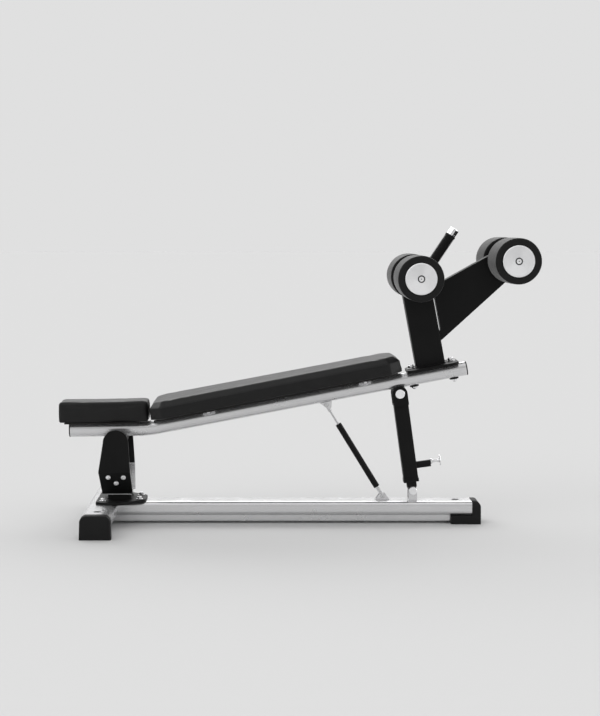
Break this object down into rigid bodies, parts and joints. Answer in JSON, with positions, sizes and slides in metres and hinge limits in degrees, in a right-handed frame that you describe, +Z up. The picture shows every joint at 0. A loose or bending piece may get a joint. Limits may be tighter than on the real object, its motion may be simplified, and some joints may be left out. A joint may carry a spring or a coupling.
{
  "type": "adjustable abdominal bench",
  "caption": "Adjustable abdominal bench: padded tilting rail on a cross foot and floor beam, telescoping post, gas strut and foam leg rollers.",
  "frame": {"origin": "on the floor under the middle of the whole bench", "axes": "+X along the floor beam towards the leg rollers, +Z up, the bench is symmetric about the XZ plane"},
  "size_m": [1.613, 0.67, 1.0188],
  "materials": {
    "silver_paint": "satin",
    "black_paint": "satin",
    "black_tube": "gloss",
    "steel": "satin",
    "chrome": "polished",
    "rubber": "matte",
    "plastic": "matte",
    "board": "matte",
    "upholstery": "satin",
    "foam": "matte",
    "roller_disc": "satin"
  },
  "bodies": {
    "base": {"foot_tube": "silver_paint", "beam_tube": "silver_paint", "foot_cap_near": "rubber", "foot_cap_far": "rubber", "beam_end_foot": "rubber", "bracket_plate": "black_paint", "bracket_bolts": "chrome", "upright": "black_paint", "side_plate_near": "black_paint", "side_plate_far": "black_paint", "inner_bracket": "silver_paint", "pivot_pin": "steel", "plate_screws_near": "chrome", "plate_screws_far": "chrome", "post_clevis": "silver_paint", "post_foot_pin": "chrome", "strut_foot_bracket": "silver_paint", "strut_foot_pin": "steel"},
    "rail": {"rail_tube": "silver_paint", "rail_cap_low": "plastic", "rail_cap_high": "plastic", "pivot_hub": "black_paint", "pivot_bush_near": "plastic", "pivot_bush_far": "plastic", "post_lug": "black_paint", "post_head_pin": "chrome", "strut_head_bracket": "silver_paint", "strut_head_pin": "steel", "head_board": "board", "head_pad": "upholstery", "back_board": "board", "back_pad": "upholstery", "pad_bracket_low": "silver_paint", "pad_bracket_high": "silver_paint", "pad_bolts": "chrome", "roller_base_plate": "black_paint", "roller_post": "black_paint", "roller_arm": "black_paint", "base_bolts": "chrome", "knee_axle": "black_paint", "foot_axle": "black_paint", "handle_bar": "black_paint", "handle_grip": "rubber", "handle_plug": "chrome"},
    "post_outer": {"outer_tube": "black_paint", "lock_barrel": "black_paint"},
    "lock_pin": {"lock_plunger": "chrome"},
    "post_inner": {"inner_tube": "black_tube"},
    "gas_cylinder": {"strut_cylinder": "black_tube", "strut_foot_eye": "steel"},
    "gas_rod": {"strut_rod": "steel"},
    "knee_roller_near": {"knee_foam_near": "foam", "knee_hub_near": "roller_disc"},
    "knee_roller_far": {"knee_foam_far": "foam", "knee_hub_far": "roller_disc"},
    "foot_roller_near": {"foot_foam_near": "foam", "foot_hub_near": "roller_disc"},
    "foot_roller_far": {"foot_foam_far": "foam", "foot_hub_far": "roller_disc"}
  },
  "joints": [
    {"name": "rail_tilt", "type": "hinge", "parent": "base", "child": "rail", "pos_m": [-0.614, 0, 0.289], "axis": [0, -1, 0], "range_deg": [0, 10]},
    {"name": "post_inner_swing", "type": "hinge", "parent": "base", "child": "post_inner", "pos_m": [0.4022, 0, 0.1113], "axis": [0, -1, 0], "range_deg": [0, 2.5]},
    {"name": "post_outer_swing", "type": "hinge", "parent": "rail", "child": "post_outer", "pos_m": [0.3547, 0, 0.4485], "axis": [0, -1, 0], "range_deg": [-8.5, 0]},
    {"name": "gas_cylinder_swing", "type": "hinge", "parent": "base", "child": "gas_cylinder", "pos_m": [0.298, 0, 0.0925], "axis": [0, -1, 0], "range_deg": [-6.5, 0]},
    {"name": "gas_rod_swing", "type": "hinge", "parent": "rail", "child": "gas_rod", "pos_m": [0.104, 0, 0.4075], "axis": [0, -1, 0], "range_deg": [-14.5, 0]},
    {"name": "lock_pull", "type": "slide", "parent": "post_outer", "child": "lock_pin", "axis": [0.9902, 0, 0.1395], "range_m": [0, 0.01], "stiffness_N_per_m": 300, "springref_m": -0.005},
    {"name": "knee_roller_near_spin", "type": "hinge", "parent": "rail", "child": "knee_roller_near", "pos_m": [0.4039, -0.1475, 0.84804], "axis": [0, 1, 0], "continuous": true},
    {"name": "knee_roller_far_spin", "type": "hinge", "parent": "rail", "child": "knee_roller_far", "pos_m": [0.4039, 0.1475, 0.84804], "axis": [0, 1, 0], "continuous": true},
    {"name": "foot_roller_near_spin", "type": "hinge", "parent": "rail", "child": "foot_roller_near", "pos_m": [0.72249, -0.1475, 0.90596], "axis": [0, 1, 0], "continuous": true},
    {"name": "foot_roller_far_spin", "type": "hinge", "parent": "rail", "child": "foot_roller_far", "pos_m": [0.72249, 0.1475, 0.90596], "axis": [0, 1, 0], "continuous": true}
  ],
  "couplings": [
    {"joint": "post_inner_swing", "follows": "rail_tilt", "ratio": 0.1942},
    {"joint": "post_outer_swing", "follows": "rail_tilt", "ratio": -0.8058},
    {"joint": "gas_cylinder_swing", "follows": "rail_tilt", "ratio": -0.584},
    {"joint": "gas_rod_swing", "follows": "rail_tilt", "ratio": -1.3134}
  ]
}
